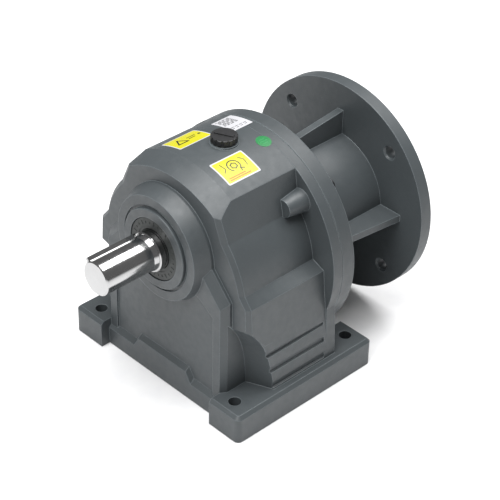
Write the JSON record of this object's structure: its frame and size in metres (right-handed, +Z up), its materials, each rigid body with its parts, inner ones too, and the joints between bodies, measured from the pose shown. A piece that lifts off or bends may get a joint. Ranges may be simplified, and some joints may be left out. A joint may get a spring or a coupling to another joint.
{
  "type": "inline gear reducer",
  "caption": "Foot-mounted inline gear reducer: keyed output shaft at the front, spur gear train inside, ribbed adapter with a round motor flange at the rear.",
  "frame": {"origin": "centre of the four foot holes, on the mounting plane", "axes": "+X across the feet, +Y from the output shaft towards the motor flange, +Z up"},
  "size_m": [0.208, 0.286, 0.2167],
  "materials": {
    "painted_iron": "satin slate grey paint over cast iron",
    "raw_iron": "bare casting, machined faces",
    "zinc_steel": "zinc plated",
    "black_oxide": "black oxide, oiled",
    "black_plastic": "matt moulded",
    "gasket_fibre": "oiled fibre sheet",
    "seal_rubber": "matt nitrile",
    "bearing_steel": "ground and polished",
    "cage_steel": "pressed strip",
    "gear_steel": "hobbed and hardened",
    "ground_steel": "ground bright"
  },
  "bodies": {
    "housing": {"bearing_carrier": "raw_iron", "breather_plug": "black_plastic", "breather_washer": "gasket_fibre", "carrier_screws": "zinc_steel", "case_gasket": "gasket_fibre", "case_screws": "black_oxide", "case_washers": "black_oxide", "dowel_pins": "bearing_steel", "gear_case": "painted_iron", "input_front_outer_ring": "bearing_steel", "input_rear_outer_ring": "bearing_steel", "input_seal_case": "seal_rubber", "input_seal_lip": "seal_rubber", "layshaft_front_outer_ring": "bearing_steel", "layshaft_rear_outer_ring": "bearing_steel", "motor_adapter": "painted_iron", "output_bearing_circlip": "seal_rubber", "output_front_outer_ring": "bearing_steel", "output_rear_outer_ring": "bearing_steel", "output_seal_case": "seal_rubber", "output_seal_lip": "seal_rubber", "quill_bearing_circlip": "seal_rubber"},
    "output_train": {"output_shaft": "ground_steel", "output_key": "ground_steel", "output_gear_key": "ground_steel", "output_gear": "gear_steel", "output_spacer": "ground_steel", "output_rear_circlip": "seal_rubber", "output_front_inner_ring": "bearing_steel", "output_rear_inner_ring": "bearing_steel"},
    "layshaft_train": {"layshaft": "gear_steel", "layshaft_gear": "gear_steel", "layshaft_gear_key": "ground_steel", "layshaft_circlip": "seal_rubber", "layshaft_front_inner_ring": "bearing_steel", "layshaft_rear_inner_ring": "bearing_steel"},
    "input_train": {"input_quill": "gear_steel", "quill_circlip": "seal_rubber", "input_front_inner_ring": "bearing_steel", "input_rear_inner_ring": "bearing_steel"},
    "output_front_ball_train": {"output_front_balls": "bearing_steel", "output_front_cage": "cage_steel"},
    "output_rear_ball_train": {"output_rear_balls": "bearing_steel", "output_rear_cage": "cage_steel"},
    "layshaft_front_ball_train": {"layshaft_front_balls": "bearing_steel", "layshaft_front_cage": "cage_steel"},
    "layshaft_rear_ball_train": {"layshaft_rear_balls": "bearing_steel", "layshaft_rear_cage": "cage_steel"},
    "input_front_ball_train": {"input_front_balls": "bearing_steel", "input_front_cage": "cage_steel"},
    "input_rear_ball_train": {"input_rear_balls": "bearing_steel", "input_rear_cage": "cage_steel"}
  },
  "joints": [
    {"name": "output_spin", "type": "hinge", "parent": "housing", "child": "output_train", "pos_m": [0, 0, 0.1394], "axis": [0, 1, 0], "continuous": true},
    {"name": "layshaft_spin", "type": "hinge", "parent": "housing", "child": "layshaft_train", "pos_m": [0, 0, 0.0644], "axis": [0, 1, 0], "continuous": true},
    {"name": "input_spin", "type": "hinge", "parent": "housing", "child": "input_train", "pos_m": [0, 0, 0.1094], "axis": [0, 1, 0], "continuous": true},
    {"name": "output_front_ball_spin", "type": "hinge", "parent": "housing", "child": "output_front_ball_train", "pos_m": [0, 0, 0.1394], "axis": [0, 1, 0], "continuous": true},
    {"name": "output_rear_ball_spin", "type": "hinge", "parent": "housing", "child": "output_rear_ball_train", "pos_m": [0, 0, 0.1394], "axis": [0, 1, 0], "continuous": true},
    {"name": "layshaft_front_ball_spin", "type": "hinge", "parent": "housing", "child": "layshaft_front_ball_train", "pos_m": [0, 0, 0.0644], "axis": [0, 1, 0], "continuous": true},
    {"name": "layshaft_rear_ball_spin", "type": "hinge", "parent": "housing", "child": "layshaft_rear_ball_train", "pos_m": [0, 0, 0.0644], "axis": [0, 1, 0], "continuous": true},
    {"name": "input_front_ball_spin", "type": "hinge", "parent": "housing", "child": "input_front_ball_train", "pos_m": [0, 0, 0.1094], "axis": [0, 1, 0], "continuous": true},
    {"name": "input_rear_ball_spin", "type": "hinge", "parent": "housing", "child": "input_rear_ball_train", "pos_m": [0, 0, 0.1094], "axis": [0, 1, 0], "continuous": true}
  ],
  "couplings": [
    {"joint": "layshaft_spin", "follows": "output_spin", "ratio": -2.9474},
    {"joint": "input_spin", "follows": "output_spin", "ratio": 9.6842},
    {"joint": "output_front_ball_spin", "follows": "output_spin", "ratio": 0.3972},
    {"joint": "output_rear_ball_spin", "follows": "output_spin", "ratio": 0.39783},
    {"joint": "layshaft_front_ball_spin", "follows": "output_spin", "ratio": -1.1324},
    {"joint": "layshaft_rear_ball_spin", "follows": "output_spin", "ratio": -1.1324},
    {"joint": "input_front_ball_spin", "follows": "output_spin", "ratio": 4.1427},
    {"joint": "input_rear_ball_spin", "follows": "output_spin", "ratio": 4.1427}
  ]
}
